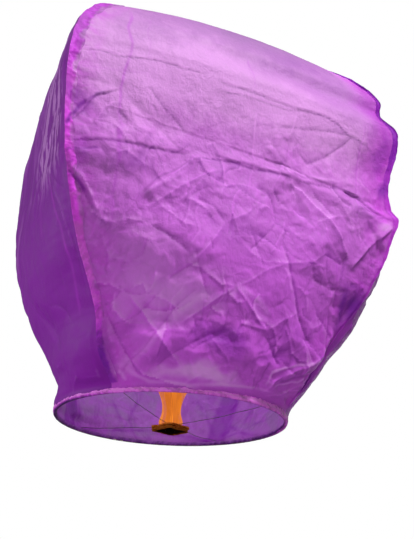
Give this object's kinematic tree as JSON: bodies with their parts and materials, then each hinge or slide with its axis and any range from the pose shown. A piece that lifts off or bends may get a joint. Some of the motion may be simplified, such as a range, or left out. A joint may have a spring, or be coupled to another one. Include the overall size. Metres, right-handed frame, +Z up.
{
  "type": "sky lantern",
  "caption": "Paper sky lantern: a tissue envelope of glued gores on a bamboo mouth hoop, with a waxed fuel pad hung from crossed wires.",
  "frame": {"origin": "centre of the mouth, on the plane of the hem's underside", "axes": "+Z up the lantern's axis to the crown, front gore facing -Y, seams on the diagonals between X and Y"},
  "size_m": [0.5968, 0.5685, 0.6546],
  "materials": {
    "tissue": "matte translucent tissue",
    "doubled_tissue": "matte doubled tissue",
    "bamboo": "split bamboo",
    "thread": "matte",
    "wire": "dull drawn wire",
    "waxed_sheet": "waxed"
  },
  "bodies": {
    "mouth": {"hoop": "bamboo", "hoop_binding": "thread", "mouth_hem": "doubled_tissue", "gore_front": "tissue", "gore_right": "tissue", "gore_back": "tissue", "gore_left": "tissue", "seam_front_left": "doubled_tissue", "seam_front_right": "doubled_tissue", "seam_back_right": "doubled_tissue", "seam_back_left": "doubled_tissue", "cross_wire_a": "wire", "cross_wire_b": "wire"},
    "crown": {"crown_patch": "doubled_tissue"},
    "burner": {"crossing_tie": "wire", "pad_prongs": "wire"},
    "fuel_cell": {"fuel_sheet_1": "waxed_sheet", "fuel_sheet_2": "waxed_sheet", "fuel_sheet_3": "waxed_sheet", "fuel_sheet_4": "waxed_sheet", "fuel_sheet_5": "waxed_sheet"}
  },
  "joints": [
    {"name": "envelope_collapse", "type": "slide", "parent": "mouth", "child": "crown", "axis": [0, 0, -1], "range_m": [0, 0.55], "deforming": ["gore_front", "gore_right", "gore_back", "gore_left", "seam_front_left", "seam_front_right", "seam_back_right", "seam_back_left"]},
    {"name": "burner_rise", "type": "slide", "parent": "mouth", "child": "burner", "axis": [0, 0, 1], "range_m": [0, 0.017], "deforming": ["cross_wire_a", "cross_wire_b"]},
    {"name": "fuel_cell_off", "type": "slide", "parent": "burner", "child": "fuel_cell", "axis": [0, 0, -1], "range_m": [0, 0.06]}
  ]
}
